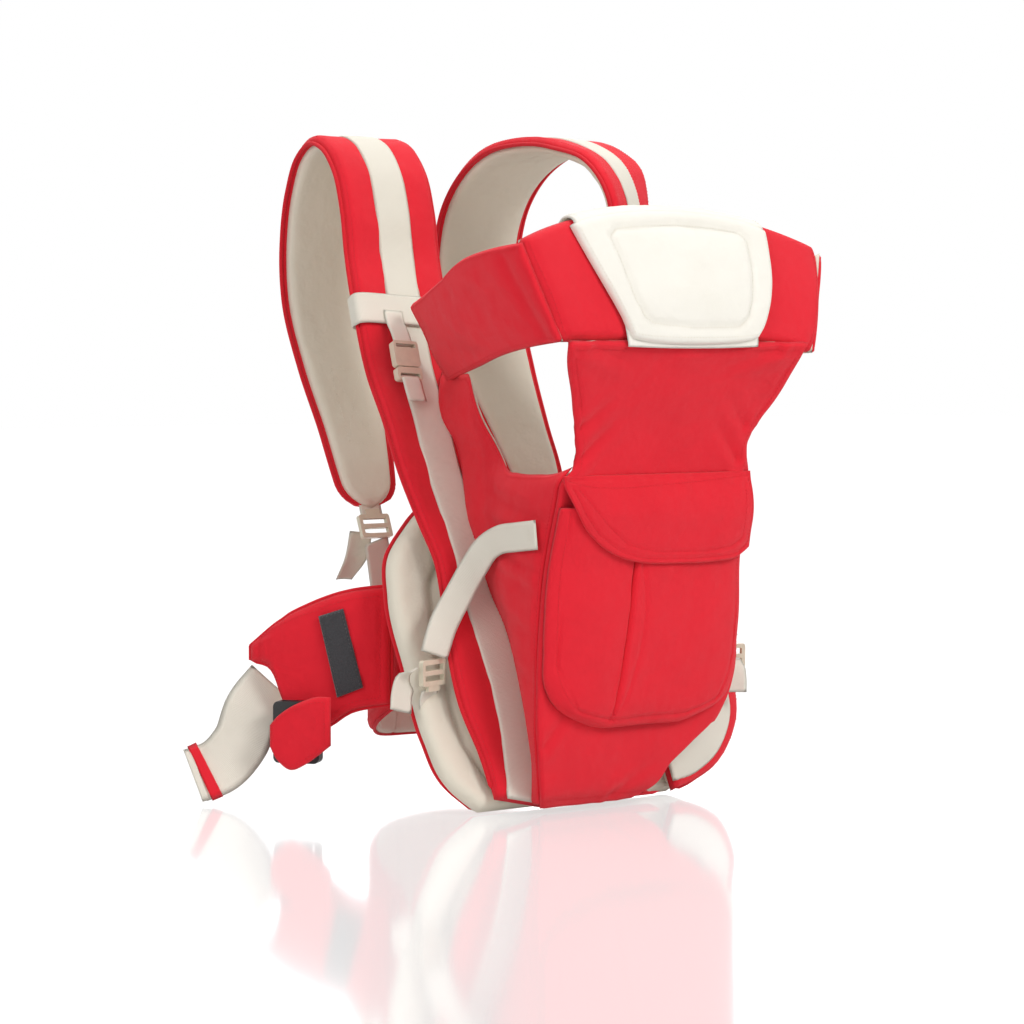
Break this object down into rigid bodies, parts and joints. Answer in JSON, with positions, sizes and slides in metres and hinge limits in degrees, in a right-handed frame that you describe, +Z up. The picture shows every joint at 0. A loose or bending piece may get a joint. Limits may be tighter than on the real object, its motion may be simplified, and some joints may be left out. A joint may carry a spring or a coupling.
{
  "type": "baby carrier",
  "caption": "Soft baby carrier worn on the chest, with a pouch, arm holes, head rest and bib, looped shoulder straps, a padded waist belt and adjusting webbing.",
  "frame": {"origin": "middle of the seat panel's bottom edge, on the ground it stands on", "axes": "+Z up; -Y out of the pouch's face, away from the wearer; +X to the right as the face is seen"},
  "size_m": [0.5304, 0.4423, 0.5917],
  "materials": {
    "red_fabric": "plain weave, slightly glossy",
    "cream_lining": "brushed cotton",
    "cream_webbing": "woven webbing",
    "bib_fabric": "quilted cotton",
    "foam": "polyester wadding",
    "black_tape": "hook and loop tape",
    "black_plastic": "moulded acetal",
    "cream_plastic": "moulded acetal"
  },
  "bodies": {
    "pouch": {"belt_centre_pad": "red_fabric", "front_lining": "cream_lining", "front_panel": "red_fabric", "left_side_panel": "red_fabric", "left_side_tail": "cream_webbing", "left_side_webbing": "cream_webbing", "left_strap_cover": "red_fabric", "left_strap_foam": "foam", "left_strap_lining": "cream_lining", "left_strap_stripe": "cream_webbing", "left_strap_tail": "cream_webbing", "left_strap_webbing": "cream_webbing", "pocket": "red_fabric", "right_side_panel": "red_fabric", "right_side_tail": "cream_webbing", "right_side_webbing": "cream_webbing", "right_strap_cover": "red_fabric", "right_strap_foam": "foam", "right_strap_lining": "cream_lining", "right_strap_stripe": "cream_webbing", "right_strap_tail": "cream_webbing", "right_strap_webbing": "cream_webbing", "seat_cover": "red_fabric", "seat_foam": "foam", "seat_lining": "cream_lining"},
    "pocket_flap": {"pocket_flap": "red_fabric", "flap_hook_tape": "black_tape"},
    "head_rest": {"head_rest_pad": "red_fabric", "head_rest_lining": "cream_lining", "left_head_wing": "red_fabric", "right_head_wing": "red_fabric", "bib_back_tab": "cream_lining"},
    "bib": {"drool_bib": "bib_fabric"},
    "left_keeper": {"left_keeper_loop": "cream_webbing", "left_wing_buckle_socket": "cream_plastic"},
    "left_wing_plug": {"left_wing_buckle_plug": "cream_plastic"},
    "left_strap_lock": {"left_strap_lock": "cream_plastic"},
    "left_side_lock": {"left_side_lock": "cream_plastic"},
    "right_keeper": {"right_keeper_loop": "cream_webbing", "right_wing_buckle_socket": "cream_plastic"},
    "right_wing_plug": {"right_wing_buckle_plug": "cream_plastic"},
    "right_strap_lock": {"right_strap_lock": "cream_plastic"},
    "right_side_lock": {"right_side_lock": "cream_plastic"},
    "left_belt": {"left_belt_foam": "foam", "left_belt_cover": "red_fabric", "left_belt_lining": "cream_lining", "belt_loop_tape": "black_tape", "left_belt_webbing": "cream_webbing", "left_webbing_sleeve": "red_fabric", "buckle_guard": "red_fabric", "waist_buckle_socket": "black_plastic"},
    "right_belt": {"right_belt_foam": "foam", "right_belt_cover": "red_fabric", "right_belt_lining": "cream_lining", "right_belt_webbing": "cream_webbing", "waist_buckle_plug": "black_plastic"}
  },
  "joints": [
    {"name": "pocket_flap_hinge", "type": "hinge", "parent": "pouch", "child": "pocket_flap", "pos_m": [0, -0.07785, 0.2885], "axis": [-1, 0, 0], "range_deg": [0, 110]},
    {"name": "head_rest_tilt", "type": "hinge", "parent": "pouch", "child": "head_rest", "pos_m": [0, -0.11455, 0.402], "axis": [1, 0, 0], "range_deg": [-0.8, 4], "stiffness_Nm_per_rad": 1.2},
    {"name": "bib_lift", "type": "hinge", "parent": "head_rest", "child": "bib", "pos_m": [0, -0.09255, 0.508], "axis": [-1, 0, 0], "range_deg": [0, 100]},
    {"name": "left_keeper_slide", "type": "slide", "parent": "pouch", "child": "left_keeper", "axis": [0.0687, 0.369, 0.9269], "range_m": [-0.006, 0.006]},
    {"name": "right_keeper_slide", "type": "slide", "parent": "pouch", "child": "right_keeper", "axis": [-0.0936, -0.3393, 0.936], "range_m": [-0.006, 0.006]},
    {"name": "left_wing_clip", "type": "slide", "parent": "left_keeper", "child": "left_wing_plug", "axis": [-0.0687, -0.369, -0.9269], "range_m": [0, 0.012]},
    {"name": "right_wing_clip", "type": "slide", "parent": "right_keeper", "child": "right_wing_plug", "axis": [0.0936, 0.3393, -0.936], "range_m": [0, 0.008]},
    {"name": "left_belt_swing", "type": "hinge", "parent": "pouch", "child": "left_belt", "pos_m": [-0.147, 0.10845, 0.14], "axis": [0, 0, 1], "range_deg": [-30, 15]},
    {"name": "right_belt_swing", "type": "hinge", "parent": "pouch", "child": "right_belt", "pos_m": [0.147, 0.10845, 0.14], "axis": [0, 0, -1], "range_deg": [-15, 15]},
    {"name": "left_strap_lock_tilt", "type": "hinge", "parent": "pouch", "child": "left_strap_lock", "pos_m": [-0.097, 0.20695, 0.2337], "axis": [1, 0, 0], "range_deg": [-20, 20]},
    {"name": "left_side_lock_tilt", "type": "hinge", "parent": "pouch", "child": "left_side_lock", "pos_m": [-0.157, 0.03245, 0.119], "axis": [-0.9536, -0.3011, 0], "range_deg": [0, 25]},
    {"name": "right_strap_lock_tilt", "type": "hinge", "parent": "pouch", "child": "right_strap_lock", "pos_m": [0.098, 0.20695, 0.2337], "axis": [1, 0, 0], "range_deg": [-20, 20]},
    {"name": "right_side_lock_tilt", "type": "hinge", "parent": "pouch", "child": "right_side_lock", "pos_m": [0.136, -0.01255, 0.119], "axis": [-0.9536, 0.3011, 0], "range_deg": [0, 25]}
  ]
}
